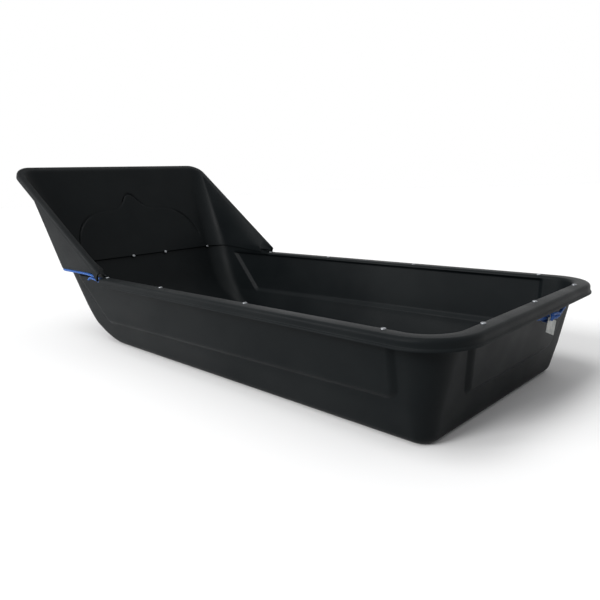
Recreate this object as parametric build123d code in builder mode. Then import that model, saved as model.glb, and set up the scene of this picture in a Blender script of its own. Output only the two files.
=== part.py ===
"""Cargo sled: a formed drag tub with a screwed-on nose extension and a rope run in its rim.

+X points forward to the nose, +Y to the sled's left and +Z up. The origin is on the ground, under the
middle of the overall length and width. All lengths are in millimetres, all angles in degrees.
"""
from build123d import *
from math import atan2, cos, hypot, radians, sin, sqrt, tan
import os

# ---------------------------------------------------------------- driving dimensions
overall_length = 1792.0      # rear lip to the foremost edge of the nose
rim_width = 760.0            # across the outer edges of the two side rims
rim_height = 244.0           # ground to the top of the rim
wall = 5.0                   # formed sheet, floor and walls

# The tub's body. Its walls lean outwards; angles are from the vertical.
side_band = 33.0             # edge of the rim in to the side wall, at the rim's height
side_lean_angle = 10.6
rear_band = 33.0             # rear edge of the rim in to the rear wall, at the rim's height
rear_lean_angle = 13.2
bow_top_back = 217.0         # foremost edge of the nose back to the front wall, at the rim's height
bow_lean_angle = 26.5
bow_radius = 270.0           # where the floor sweeps up into the front wall
rear_corner_radius = 74.0    # rear corners, seen from above
chine_radius = 44.0          # floor to side walls, and side walls to the bow

# The raised panels that stiffen the walls: proud outside, sunk inside.
panel_depth = 6.0
panel_slant = 30.0           # of the panels' own edges
panel_corner_radius = 30.0
panel_top_drop = 8.0         # rim top to the panels' top edges
side_panel_rear = 137.0      # rear edge of the rim to the side panels
side_panel_rear_height = 98.0
side_panel_front = 483.0     # foremost edge of the nose back to the side panels' front lower corners
side_panel_front_height = 82.0
side_panel_rake = 46.0       # their front edges lean forward
rear_panel_side_gap = 146.0  # side edge of the rim in to the rear panel, at its top
rear_panel_rake = 17.0       # its side edges lean outwards
rear_panel_height = 88.0     # its lower edge

# The rolled rim round the sides and the rear.
rim_sheet = 4.5
rim_round = 9.0              # rolled outer edge
rim_corner_radius = 116.0
rim_front_back = 545.0       # foremost edge of the nose back to where the side rims stop
skirt_drop = 24.0            # rim top to the bottom of the turned-down skirt
lip_proud = 3.0              # small outward lip at the bottom of the skirt
lip_thickness = 3.0

# The front wall's raised edge, which the nose extension straddles.
prow_rise = 28.0             # above the rim
prow_back = 75.0             # it starts this far ahead of the side rims' ends

# The nose extension: a leaning front panel between two cheeks, with a rolled edge.
nose_slope = 34.85            # rise of the rolled edge from the rims' ends to the top
nose_joggle = 15.0           # how far its walls stand outside the tub's, at the prow's height
nose_edge_spread = 32.0      # the rolled edge's top corners stand this far outside the rim's edges
nose_flange_width = 18.0     # rolled edge, outside the panel and the cheeks
nose_flange_sheet = 4.5
nose_skirt_drop = 20.0
nose_flange_corner_radius = 75.0
nose_corner_radius = 50.0
nose_lower_edge_gap = 1.5    # bottom edge of its outer wall, above the rope
margin_rise = 10.0           # bottom edge of the screwed margin inside the tub, above the rim
margin_gap = 0.3

# The rope in the rim, and the bead that carries it round the bow.
rope_diameter = 9.0
rope_clearance = 0.5
bead_width = 12.0
bead_thickness = 5.0
bead_corner_radius = 55.0
rear_rope_inset = 16.0       # rear edge of the rim to the rope's middle
rear_rope_corner_radius = 98.0
knot_diameter = 20.0
knot_left = 30.0             # the knot's two ends across the sled
knot_right = -110.0
knot_left_drop = 22.0        # below the rim's top
knot_right_drop = 46.0
knot_tail = 25.0             # the rope comes straight out of the knot for this length
rope_drop_run = 60.0         # and then rises into the rim
rope_drop_radius = 50.0

# The hang tag.
tag_width = 33.0
tag_length = 47.0
tag_thickness = 0.8
tag_hole_radius = 2.5
tag_hole_edge = 6.0          # from two edges of the tag to the middle of its hole
tag_tie_diameter = 1.6
tag_tie_gap = 3.0            # between the knot and its loop
tag_knot_gap = 1.0           # between the knot and the tag
tag_turn = 21.0              # its long side dips by this much
tag_place = -42.0            # across the sled, at its hole

# Screws through the rim and through the nose seam.
shank_radius = 2.0
hole_radius = 2.3
head_radius = 5.5
head_height = 2.8
shank_length = 14.0
screw_from_inner_edge = 10.0
front_screw_back = 8.0       # rims' front ends back to the first screws
rear_screw_ahead = 155.0     # rear edge of the rim to the last side screws
side_screw_shares = (0.0, 0.29, 0.63, 1.0)  # of the way between those two
rear_screw_spacing = 232.0
rear_screw_shift = -20.0     # hand drilled, off the middle
seam_screw_side_gap = 66.0   # tub's outside in to the outer seam screws
seam_screw_inner_offset = 72.0
seam_screw_rise = 17.0       # above the rim

# ---------------------------------------------------------------- worked-out places
front = overall_length / 2
rim_rear = -overall_length / 2 + lip_proud
rim_half = rim_width / 2
rim_front = front - rim_front_back
bow_top = front - bow_top_back
prow_height = rim_height + prow_rise
side_lean = radians(side_lean_angle)
rear_lean = radians(rear_lean_angle)
bow_lean = radians(bow_lean_angle)
slope = radians(nose_slope)
nose_edge = front - nose_skirt_drop * sin(slope)
nose_edge_half = rim_half + nose_edge_spread
nose_height = rim_height + (nose_edge - rim_front) * tan(slope)
nose_panel_top = nose_edge - nose_flange_width * cos(slope)
nose_panel_height = nose_height - nose_flange_width * sin(slope)
rope_height = rim_height - rim_sheet - rope_clearance - rope_diameter / 2
nose_lower_edge = rope_height + rope_diameter / 2 + nose_lower_edge_gap


def side_at(z, inset=0.0):
    """Half the tub's width at height z, measured inset inside its outer face."""
    return rim_half - side_band - (rim_height - z) * tan(side_lean) - inset / cos(side_lean)


def rear_at(z, inset=0.0):
    return rim_rear + rear_band + (rim_height - z) * tan(rear_lean) + inset / cos(rear_lean)


def bow_at(z, inset=0.0):
    return bow_top - (rim_height - z) * tan(bow_lean) - inset / cos(bow_lean)


nose_base = bow_at(prow_height) + nose_joggle
nose_base_half = side_at(prow_height) + nose_joggle
nose_top_half = nose_edge_half - nose_flange_width
panel_lean = atan2(nose_panel_top - nose_base, nose_panel_height - prow_height)
cheek_lean = atan2(nose_top_half - nose_base_half, nose_panel_height - prow_height)


def panel_at(z, inset=0.0):
    return nose_base + (z - prow_height) * tan(panel_lean) - inset / cos(panel_lean)


def cheek_at(z, inset=0.0):
    return nose_base_half + (z - prow_height) * tan(cheek_lean) - inset / cos(cheek_lean)


def steep(edges):
    """The edges that climb, which are a form's corners seen from above."""
    return edges.filter_by(lambda edge: abs(edge.tangent_at(0.5).Z) > 0.5)


def tub_form(inset, top):
    """The tub as a solid block up to height top, every face moved inwards by inset."""
    with BuildPart() as form:
        with BuildSketch(Plane.XZ) as side_view:
            Polygon(
                (rear_at(inset, inset), inset), (bow_at(inset, inset), inset),
                (bow_at(top, inset), top), (rear_at(top, inset), top), align=None,
            )
            fillet(side_view.vertices().group_by(Axis.Y)[0].sort_by(Axis.X)[-1], bow_radius - inset)
        extrude(amount=rim_width, both=True)
        with BuildSketch(Plane.YZ):
            Polygon(
                (-side_at(inset, inset), inset), (side_at(inset, inset), inset),
                (side_at(top, inset), top), (-side_at(top, inset), top), align=None,
            )
        extrude(amount=overall_length, both=True, mode=Mode.INTERSECT)
        fillet(steep(form.faces().sort_by(Axis.X)[0].edges()), rear_corner_radius - inset)
        top_edges = form.faces().sort_by(Axis.Z)[-1].edges()
        rear_corners = form.edges().filter_by(
            lambda edge: edge.center().X < rim_rear + 2 * rear_corner_radius and edge.center().Z > top * 0.4
        )
        fillet(form.edges() - top_edges - rear_corners, chine_radius - inset)
    return form.part


def nose_form(inset, bottom, raised):
    """The nose as a solid wedge down to height bottom, every wall moved inwards by inset.

    Its sloping top is the plane of the rolled edge, moved up by raised.
    """
    edge_start = rim_height + raised / cos(slope)
    panel_at_ground = panel_at(0, inset)
    peak = (edge_start + (panel_at_ground - rim_front) * tan(slope)) / (1 - tan(panel_lean) * tan(slope))
    back = rim_front + (bottom - edge_start) / tan(slope)
    with BuildPart() as form:
        with BuildSketch(Plane.XZ):
            Polygon((back, bottom), (panel_at(bottom, inset), bottom), (panel_at(peak, inset), peak), align=None)
        extrude(amount=rim_width, both=True)
        with BuildSketch(Plane.YZ):
            Polygon(
                (-cheek_at(bottom, inset), bottom), (cheek_at(bottom, inset), bottom),
                (cheek_at(peak, inset), peak), (-cheek_at(peak, inset), peak), align=None,
            )
        extrude(amount=overall_length, both=True, mode=Mode.INTERSECT)
        fillet(steep(form.faces().sort_by(Axis.X)[-1].edges()), nose_corner_radius - inset)
    return form.part


def rim_outline(grow):
    """The rim seen from above, its outer edge moved outwards by grow, square at the front."""
    with BuildSketch() as outline:
        Polygon(
            (rim_rear - grow, -rim_half - grow), (rim_front, -rim_half - grow),
            (rim_front, rim_half + grow), (rim_rear - grow, rim_half + grow), align=None,
        )
        fillet(outline.vertices().group_by(Axis.X)[0], rim_corner_radius + grow)
    return outline.sketch


def edge_outline(inset):
    """The nose's rolled edge in its own sloping plane, its outer edge moved inwards by inset."""
    reach = hypot(nose_edge - rim_front, nose_height - rim_height) - inset
    with BuildSketch() as outline:
        Polygon(
            (0, -rim_half + inset), (reach, -nose_edge_half + inset),
            (reach, nose_edge_half - inset), (0, rim_half - inset), align=None,
        )
        fillet(outline.vertices().group_by(Axis.X)[-1], nose_flange_corner_radius - inset)
    return outline.sketch


def side_panel(side, inset):
    """The side wall's panel on side 1 or -1: its block outwards from the wall inset inside the outer face."""
    up_wall = Plane(
        origin=(0, side * side_at(0, inset), 0),
        x_dir=(-side, 0, 0),
        z_dir=(0, side * cos(side_lean), -sin(side_lean)),
    )
    top = (rim_height - panel_top_drop - inset) / cos(side_lean)
    back = rim_rear + side_panel_rear + inset
    lower_front = front - side_panel_front - inset
    upper_front = lower_front + (top - side_panel_front_height) * tan(radians(side_panel_rake))
    with BuildPart() as panel:
        with BuildSketch(up_wall) as outline:
            Polygon(
                (-side * back, side_panel_rear_height + inset),
                (-side * lower_front, side_panel_front_height + inset),
                (-side * upper_front, top), (-side * back, top), align=None,
            )
            fillet(outline.vertices().group_by(Axis.Y)[0], panel_corner_radius)
        extrude(amount=panel_depth, taper=panel_slant)
    return panel.part


def rear_panel(inset):
    """The rear wall's panel, as side_panel makes the side walls'."""
    up_wall = Plane(
        origin=(rear_at(0, inset), 0, 0), x_dir=(0, -1, 0), z_dir=(-cos(rear_lean), 0, -sin(rear_lean))
    )
    top = (rim_height - panel_top_drop - inset) / cos(rear_lean)
    top_half = rim_half - rear_panel_side_gap - inset
    low_half = top_half - (top - rear_panel_height) * tan(radians(rear_panel_rake))
    low = rear_panel_height + inset
    with BuildPart() as panel:
        with BuildSketch(up_wall) as outline:
            Polygon((-low_half, low), (low_half, low), (top_half, top), (-top_half, top), align=None)
            fillet(outline.vertices().group_by(Axis.Y)[0], panel_corner_radius)
        extrude(amount=panel_depth, taper=panel_slant)
    return panel.part


def edge_block(outline, drop, radius, plane):
    """The outline as a block under its plane, its top edges rounded, except across the rims' front ends."""
    with BuildPart() as block:
        with BuildSketch(plane):
            add(outline)
        extrude(amount=-drop)
        level = block.edges().filter_by(lambda edge: abs(plane.to_local_coords(edge.center()).Z) < 0.01)
        fillet(level.filter_by(lambda edge: abs(edge.center().X - rim_front) > rim_sheet), radius)
    return block.part


def rolled_edge(outer, inner, drop, sheet, plane):
    """A sheet in the plane that rolls down round its edge: block less a smaller block."""
    with BuildPart() as edge:
        add(edge_block(outer, drop, rim_round, plane))
        add(edge_block(inner, drop, rim_round - sheet, plane.offset(-sheet)), mode=Mode.SUBTRACT)
    return edge.part


# Where the screws go: the place of each head's seat, with the screw's own axis.
rim_screw_half = side_at(rim_height, wall) + screw_from_inner_edge
rim_screw_rear = rear_at(rim_height, wall) - screw_from_inner_edge
first_side_screw = rim_front - front_screw_back
last_side_screw = rim_rear + rear_screw_ahead
rim_screw_places = [
    Location((first_side_screw + share * (last_side_screw - first_side_screw), side * rim_screw_half, rim_height))
    for share in side_screw_shares for side in (-1, 1)
] + [
    Location((rim_screw_rear, rear_screw_shift + step * rear_screw_spacing, rim_height)) for step in (-1, 0, 1)
]
seam_screw_height = rim_height + seam_screw_rise
seam_seat = bow_at(seam_screw_height, 2 * wall + margin_gap)
outer_seam_screw = side_at(seam_screw_height) - seam_screw_side_gap
seam_screw_places = [
    Location((seam_seat, offset, seam_screw_height), (0, bow_lean_angle - 90, 0))
    for offset in (-outer_seam_screw, -seam_screw_inner_offset, seam_screw_inner_offset, outer_seam_screw)
]

# ---------------------------------------------------------------- tub: one formed sheet
bead_half = side_at(rope_height) + bead_width
bead_front = bow_at(rope_height) + bead_width
with BuildPart() as tub_inside:
    # The space inside the sheet.
    add(tub_form(wall, prow_height + wall))
    for side in (-1, 1):
        add(side_panel(side, wall))
    add(rear_panel(wall))

with BuildPart() as tub_shell:
    # Floor, walls and bow, cut down to the rim's height behind the prow.
    add(tub_form(0, prow_height))
    with BuildSketch(Plane.XY.offset(rim_height)):
        Polygon(
            (-front, -rim_width), (rim_front + prow_back, -rim_width),
            (rim_front + prow_back, rim_width), (-front, rim_width), align=None,
        )
    extrude(amount=prow_rise + wall, mode=Mode.SUBTRACT)
    for side in (-1, 1):
        add(side_panel(side, 0))
    add(rear_panel(0))
    # The rim: a flat band, a skirt turned down round its edge, and a small lip.
    add(rolled_edge(rim_outline(0), rim_outline(-rim_sheet), skirt_drop, rim_sheet, Plane.XY.offset(rim_height)))
    with BuildSketch(Plane.XY.offset(rim_height - skirt_drop)):
        add(rim_outline(lip_proud))
        add(rim_outline(-rim_sheet), mode=Mode.SUBTRACT)
    extrude(amount=lip_thickness)
    # The bead that carries the rope round the bow.
    with BuildSketch(Plane.XY.offset(rope_height - bead_thickness / 2)) as bead:
        Polygon(
            (rim_front - bead_width, -bead_half), (bead_front, -bead_half),
            (bead_front, bead_half), (rim_front - bead_width, bead_half), align=None,
        )
        fillet(bead.vertices().group_by(Axis.X)[-1], bead_corner_radius)
    extrude(amount=bead_thickness)
    add(tub_inside.part, mode=Mode.SUBTRACT)
    with Locations(rim_screw_places + seam_screw_places):
        Cylinder(hole_radius, 3 * shank_length, mode=Mode.SUBTRACT)

# ---------------------------------------------------------------- nose extension
edge_plane = Plane(
    origin=(rim_front, 0, rim_height),
    x_dir=(cos(slope), 0, sin(slope)),
    z_dir=(-sin(slope), 0, cos(slope)),
)
with BuildPart() as seam_channel:
    # The channel's roof over the tub's edge, and the margin inside the tub.
    add(tub_form(wall + margin_gap, prow_height + wall))
    with BuildSketch(Plane.XY.offset(prow_height)):
        Rectangle(2 * overall_length, 2 * rim_width)
    extrude(amount=wall)
    with BuildSketch(Plane.XY.offset(rim_height + margin_rise)):
        Rectangle(2 * overall_length, 2 * rim_width)
    extrude(amount=-prow_height, mode=Mode.SUBTRACT)
    add(nose_form(0, nose_lower_edge, 0), mode=Mode.INTERSECT)
    add(tub_form(2 * wall + margin_gap, prow_height + 2 * wall), mode=Mode.SUBTRACT)

with BuildPart() as nose_walls:
    # The front panel and the cheeks, kept clear of the rims' front ends.
    add(nose_form(0, nose_lower_edge, 0))
    with BuildSketch(Plane.XY.offset(rim_height + margin_gap)):
        Polygon(
            (-front, -rim_width), (rim_front + margin_gap, -rim_width),
            (rim_front + margin_gap, rim_width), (-front, rim_width), align=None,
        )
    extrude(amount=-rim_height, mode=Mode.SUBTRACT)

with BuildPart() as nose_extension:
    # The rolled edge, kept above the tub's rim, then the walls.
    add(rolled_edge(edge_outline(0), edge_outline(nose_flange_sheet), nose_skirt_drop, nose_flange_sheet, edge_plane))
    with BuildSketch(Plane.XY.offset(rim_height + margin_gap)):
        Rectangle(2 * overall_length, 2 * rim_width)
    extrude(amount=-nose_height, mode=Mode.SUBTRACT)
    add(nose_walls.part)
    add(nose_form(wall, nose_lower_edge - wall, wall), mode=Mode.SUBTRACT)
    add(seam_channel.part)
    with Locations(seam_screw_places):
        Cylinder(hole_radius, 3 * shank_length, mode=Mode.SUBTRACT)


# ---------------------------------------------------------------- screws
with BuildPart() as screw:
    # A pan head with its seat at the origin, and the shank below it.
    with BuildSketch(Plane.XZ):
        Rectangle(head_radius, head_height, align=(Align.MIN, Align.MIN))
        Rectangle(shank_radius, shank_length, align=(Align.MIN, Align.MAX))
    revolve(axis=Axis.Z)
    fillet(screw.edges().sort_by(Axis.Z)[-1], head_height * 0.6)


def screws(places):
    with BuildPart() as group:
        with Locations(places):
            add(screw.part)
    return group.part


rim_screws = screws(rim_screw_places)
seam_screws = screws(seam_screw_places)

# ---------------------------------------------------------------- rope, knot and tag
rope_rear = rim_rear + rear_rope_inset
rope_half = bead_half + rope_diameter / 2 + rope_clearance
rope_front = bead_front + rope_diameter / 2 + rope_clearance
rope_front_corner_radius = bead_corner_radius + rope_diameter / 2 + rope_clearance
knot_start = Vector(rope_rear, knot_left, rim_height - knot_left_drop)
knot_end = Vector(rope_rear, knot_right, rim_height - knot_right_drop)
knot_length = (knot_end - knot_start).length
along_knot = (knot_end - knot_start) / knot_length
route = [
    knot_end,
    knot_end + along_knot * knot_tail,
    (rope_rear, knot_right - knot_tail - rope_drop_run, rope_height),
    (rope_rear, -rope_half, rope_height),
    (rope_front, -rope_half, rope_height),
    (rope_front, rope_half, rope_height),
    (rope_rear, rope_half, rope_height),
    (rope_rear, knot_left + knot_tail + rope_drop_run, rope_height),
    knot_start - along_knot * knot_tail,
    knot_start,
]
radii = [
    rope_drop_radius, rope_drop_radius, rear_rope_corner_radius, rope_front_corner_radius,
    rope_front_corner_radius, rear_rope_corner_radius, rope_drop_radius, rope_drop_radius,
]
with BuildPart() as perimeter_rope:
    with BuildLine() as rope_line:
        FilletPolyline(*route, radius=radii)
    with BuildSketch(Plane(origin=rope_line.line @ 0, z_dir=rope_line.line % 0)):
        Circle(rope_diameter / 2)
    sweep()
print("rope corner radii", radii)
print("rope length", round(sum(edge.length for edge in rope_line.edges())), "volume", round(perimeter_rope.part.volume))

with BuildPart() as rope_knot:
    # A bundle of strands under a half hitch, as one rounded bar.
    with BuildSketch(Plane(origin=knot_start, z_dir=along_knot)):
        Circle(knot_diameter / 2)
    extrude(amount=knot_length)
    fillet(rope_knot.edges().filter_by(GeomType.CIRCLE), knot_diameter / 4)

# The tag's tie loops the knot, and runs through the tag's hole.
tie_radius = (knot_diameter + tag_tie_diameter) / 2 + tag_tie_gap
tag_back = knot_diameter / 2 + tag_knot_gap + tag_thickness
tie_middle = knot_start + along_knot * ((tag_place - knot_left) / along_knot.Y)
tie_fall = sqrt(tie_radius ** 2 - (tag_back - tag_thickness / 2) ** 2)
with BuildPart() as tag_tie:
    with Locations(Location(tie_middle, (90, 0, 0))):
        Torus(tie_radius, tag_tie_diameter / 2)

with BuildPart() as hang_tag:
    # A blank card, hung by a hole near its upper corner.
    with BuildSketch(Plane(
        origin=tie_middle - (tag_back - tag_thickness, 0, tie_fall),
        x_dir=(0, -cos(radians(tag_turn)), -sin(radians(tag_turn))),
        z_dir=(-1, 0, 0),
    )):
        with Locations((-tag_hole_edge, tag_hole_edge)):
            Rectangle(tag_length, tag_width, align=(Align.MIN, Align.MAX))
        Circle(tag_hole_radius, mode=Mode.SUBTRACT)
    extrude(amount=tag_thickness)

# ---------------------------------------------------------------- files
os.makedirs("parts", exist_ok=True)
pieces = {
    "tub_shell": tub_shell.part,
    "nose_extension": nose_extension.part,
    "rim_screws": rim_screws,
    "seam_screws": seam_screws,
    "perimeter_rope": perimeter_rope.part,
    "rope_knot": rope_knot.part,
    "tag_tie": tag_tie.part,
    "hang_tag": hang_tag.part,
}
for name, piece in pieces.items():
    piece.label = name
    export_step(piece, f"parts/{name}.step")
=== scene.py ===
from math import asin, cos, hypot, pi, radians, sin, sqrt, tan

import bpy
from mathutils import Matrix, Vector


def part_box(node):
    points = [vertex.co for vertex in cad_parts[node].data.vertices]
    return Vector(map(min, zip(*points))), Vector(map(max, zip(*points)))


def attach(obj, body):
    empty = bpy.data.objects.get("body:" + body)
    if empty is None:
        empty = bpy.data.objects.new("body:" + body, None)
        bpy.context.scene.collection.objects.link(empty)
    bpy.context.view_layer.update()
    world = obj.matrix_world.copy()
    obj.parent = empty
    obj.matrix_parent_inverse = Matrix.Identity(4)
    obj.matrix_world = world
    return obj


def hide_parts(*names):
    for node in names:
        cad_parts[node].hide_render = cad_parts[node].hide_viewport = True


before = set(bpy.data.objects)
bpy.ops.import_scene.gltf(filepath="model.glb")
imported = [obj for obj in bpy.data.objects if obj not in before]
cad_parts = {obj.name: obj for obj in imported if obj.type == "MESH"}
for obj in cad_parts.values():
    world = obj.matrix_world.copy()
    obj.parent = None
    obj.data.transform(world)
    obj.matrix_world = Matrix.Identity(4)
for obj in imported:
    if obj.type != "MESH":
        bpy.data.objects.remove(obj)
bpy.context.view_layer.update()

# ------------------------------------------------------------------ studio
# A pale floor under a white room, with three big soft lamps: one high over the sled, one on its left
# and one from ahead of its nose. The camera stands behind its left rear corner and looks slightly down.
room_size = 40.0
floor_seen = (0.88, 0.88, 0.88, 1.0)
floor_reflected = (0.32, 0.32, 0.32, 1.0)


def background_ray(nodes, links):
    """One for the rays that see the room: from the camera, from a glossy surface, or through a clear one."""
    path = nodes.new("ShaderNodeLightPath")
    found = path.outputs["Is Camera Ray"]
    for kind in ("Is Glossy Ray", "Is Transmission Ray"):
        either = nodes.new("ShaderNodeMath")
        either.operation = "MAXIMUM"
        links.new(found, either.inputs[0])
        links.new(path.outputs[kind], either.inputs[1])
        found = either.outputs[0]
    return found


def show_two(nodes, links, lighting, background, kind):
    """Ends a node tree: the rays that see the room get the background shader, all others the lighting one."""
    mix = nodes.new("ShaderNodeMixShader")
    links.new(background_ray(nodes, links), mix.inputs["Fac"])
    links.new(lighting.outputs[0], mix.inputs[1])
    links.new(background.outputs[0], mix.inputs[2])
    links.new(mix.outputs[0], nodes.new(kind).inputs["Surface"])


bpy.ops.object.select_all(action="DESELECT")
bpy.ops.mesh.primitive_plane_add(size=room_size, location=(0, 0, 0))
studio_floor = bpy.context.object
studio_floor.name = "studio_floor"
floor_paint = bpy.data.materials.new("floor_paint")
floor_paint.use_nodes = True
nodes, links = floor_paint.node_tree.nodes, floor_paint.node_tree.links
nodes.clear()
seen = nodes.new("ShaderNodeBsdfDiffuse")
seen.inputs["Color"].default_value = floor_seen
reflected = nodes.new("ShaderNodeBsdfDiffuse")
reflected.inputs["Color"].default_value = floor_reflected
show_two(nodes, links, reflected, seen, "ShaderNodeOutputMaterial")
studio_floor.data.materials.append(floor_paint)

# How bright the room is for the object, by height: the foot of its walls, the walls, and the ceiling.
room_tones = (
    (0.02, (0.13, 0.13, 0.14, 1.0)),
    (0.30, (0.22, 0.22, 0.23, 1.0)),
    (0.75, (0.72, 0.72, 0.72, 1.0)),
)
room = bpy.data.worlds.new("room")
room.use_nodes = True
nodes, links = room.node_tree.nodes, room.node_tree.links
nodes.clear()
direction = nodes.new("ShaderNodeTexCoord")
height = nodes.new("ShaderNodeSeparateXYZ")
tones = nodes.new("ShaderNodeValToRGB")
tones.color_ramp.elements.new(0.5)
for stop, (level, tone) in zip(tones.color_ramp.elements, room_tones):
    stop.position = level
    stop.color = tone
lighting = nodes.new("ShaderNodeBackground")
backdrop = nodes.new("ShaderNodeBackground")
backdrop.inputs["Color"].default_value = (1.0, 1.0, 1.0, 1.0)
links.new(direction.outputs["Generated"], height.inputs[0])
links.new(height.outputs["Z"], tones.inputs["Fac"])
links.new(tones.outputs["Color"], lighting.inputs["Color"])
show_two(nodes, links, lighting, backdrop, "ShaderNodeOutputWorld")
bpy.context.scene.world = room

# Each lamp's name, the way its light goes, its strength and its width.
lamps = (
    ("lamp_over", (-0.15, -0.30, -0.94), 0.9, radians(28)),
    ("lamp_left", (-0.14, -0.85, -0.50), 1.9, radians(20)),
    ("lamp_front", (-0.58, -0.77, -0.27), 1.2, radians(22)),
)
for name, aim, strength, softness in lamps:
    bpy.ops.object.light_add(type="SUN", location=(0, 0, 3))
    lamp = bpy.context.object
    lamp.name = name
    lamp.data.energy = strength
    lamp.data.angle = softness
    lamp.rotation_euler = Vector(aim).to_track_quat("-Z", "Y").to_euler()

camera_place = (-1.3475, 1.1723, 0.5172)
camera_turn = (radians(78.1837), radians(2.3757), radians(-135.3191))
bpy.ops.object.camera_add(location=camera_place, rotation=camera_turn)
camera = bpy.context.object
camera.data.lens = 33.784
camera.data.sensor_width = 36.0
bpy.context.scene.camera = camera
bpy.context.scene.view_settings.view_transform = "Standard"

# ------------------------------------------------------------------ tub
# One sheet of black polyethylene, softened by heat and drawn over a mould: a flat floor that sweeps up
# into the bow, leaning walls with a stiffening panel pressed into each, and a rim rolled over at the edge.
sheet = 0.005
floor_top = sheet
lip = 0.003
tub_low, tub_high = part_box("tub_shell")
rim_half = tub_high.y - lip
rim_rear = tub_low.x + lip
prow_top = tub_high.z
rim_top = 0.244
rim_front = 0.351  # the side rims end here, short of the bow
rim_round = 0.009
rim_corner = 0.116
skirt_drop = 0.024
side_band = 0.033  # the rim's edge out from the wall, on the sides and at the rear
rear_band = 0.033
side_lean = radians(7.4)
side_low_lean = radians(16.5)
side_knee = 0.085  # height at which a side wall's lean changes, and how softly
knee_round = 0.03
rear_lean = radians(13.2)
bow_lean = radians(26.5)
bow_top = 0.679  # the bow's outer face at the rim's height
bow_sweep = 0.265
bow_corner = 0.070
chine = 0.024
rear_corner_top = 0.078
rear_corner_low = 0.032
prow_step = 0.045  # run over which the wall rises from the rims' ends to the prow's edge


def side_at(z, inset=sheet):
    """The side wall at height z: it leans out more below the knee under its panel."""
    fall = (rim_top - max(z, side_knee)) * tan(side_lean) + max(side_knee - z, 0.0) * tan(side_low_lean)
    return rim_half - side_band - fall - inset / cos(side_lean)


def rear_at(z, inset=sheet):
    return rim_rear + rear_band + (rim_top - z) * tan(rear_lean) + inset / cos(rear_lean)


def bow_at(z, inset=sheet):
    return bow_top - (rim_top - z) * tan(bow_lean) - inset / cos(bow_lean)


def rounded_foot(z, wall, lean, radius):
    """Where a wall that leans out stands at height z, with a round foot down to the floor."""
    joins = floor_top + radius * (1 - sin(lean))
    if z >= joins:
        return wall(z)
    return wall(joins) - radius * cos(lean) + sqrt(max(0.0, radius ** 2 - (floor_top + radius - z) ** 2))


def side_foot(z):
    return rounded_foot(z, side_at, side_low_lean, chine)


def rear_foot(z):
    return -rounded_foot(z, lambda height: -rear_at(height), rear_lean, chine)


def mix_of(a, b, share):
    return a + (b - a) * share


def ease(share):
    share = min(max(share, 0.0), 1.0)
    return share * share * (3 - 2 * share)


bow_start = bow_at(floor_top) - bow_sweep * tan((pi / 2 - bow_lean) / 2)
sweep_run = bow_sweep * (pi / 2 - bow_lean)


def ball(run, turn, inset=0.0):
    """A point on the round from bow to side wall, run along the bow's profile and turn of the way round."""
    angle = min(run, sweep_run) / bow_sweep
    beyond = max(0.0, run - sweep_run)
    radius = mix_of(chine, bow_corner, ease(run / sweep_run))
    x = bow_start + (bow_sweep - radius) * sin(angle) + beyond * sin(bow_lean)
    z = floor_top + bow_sweep - (bow_sweep - radius) * cos(angle) + beyond * cos(bow_lean)
    lean = mix_of(side_low_lean, side_lean, ease((z - side_knee) / knee_round + 0.5))
    y = side_at(z - radius * sin(lean)) - radius * cos(lean)
    to_bow = Vector((sin(angle), 0.0, -cos(angle)))
    to_side = Vector((0.0, cos(lean), -sin(lean)))
    return Vector((x, y, z)) + (radius - inset) * to_bow.slerp(to_side, turn)


def bow_corner_point(z, share, inset=0.0):
    """The same round at height z, share of the way from the bow to the side wall."""
    most = 1.0
    if ball(0.0, 1.0, inset).z > z:
        low, high = 0.0, 1.0
        for _ in range(30):
            most = (low + high) / 2
            low, high = (most, high) if ball(0.0, most, inset).z < z else (low, most)
    turn = most * share
    low, high = 0.0, 1.0
    for _ in range(30):
        run = (low + high) / 2
        low, high = (run, high) if ball(run, turn, inset).z < z else (low, run)
    return ball(run, turn, inset)


# Pressed panels: each is an outline on its wall, given as corners inset by the round of its corners. The
# outlines run on over the rim, and the pressing fades out under it.
panel_depth = 0.008
panel_slope = 0.016
panel_round = 0.030
panel_top = 0.237
panel_fade = 0.006
outline_top = 0.32
rear_panel_rake = tan(radians(17.0))
rear_panel_low = 0.088
rear_panel_half = rim_half - 0.129 - (panel_top - rear_panel_low) * rear_panel_rake
side_panel_rear = rim_rear + 0.137
side_panel_rear_low = 0.098
side_panel_front = 0.413
side_panel_front_low = 0.082
side_panel_rake = tan(radians(46.0))


def inside_depth(point, corners, radius):
    """How far inside an outline a point lies; the outline's corners are rounded by the radius."""
    nearest, inside = 1.0, True
    for i, a in enumerate(corners):
        b = corners[(i + 1) % len(corners)]
        along = (b[0] - a[0], b[1] - a[1])
        to = (point[0] - a[0], point[1] - a[1])
        share = (to[0] * along[0] + to[1] * along[1]) / (along[0] ** 2 + along[1] ** 2)
        share = min(max(share, 0.0), 1.0)
        nearest = min(nearest, hypot(to[0] - along[0] * share, to[1] - along[1] * share))
        if along[0] * to[1] - along[1] * to[0] < 0:
            inside = False
    return radius + (nearest if inside else -nearest)


def inset_outline(corners, radius):
    """The outline moved inwards by the radius; the corners run anticlockwise."""
    moved = []
    for i, b in enumerate(corners):
        a, c = corners[i - 1], corners[(i + 1) % len(corners)]
        u = Vector((b[0] - a[0], b[1] - a[1])).normalized()
        v = Vector((c[0] - b[0], c[1] - b[1])).normalized()
        n, m = Vector((-u.y, u.x)), Vector((-v.y, v.x))
        corner = Vector(b) + (n + m) * (radius / (1 + n.dot(m)))
        moved.append((corner.x, corner.y))
    return moved


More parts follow.
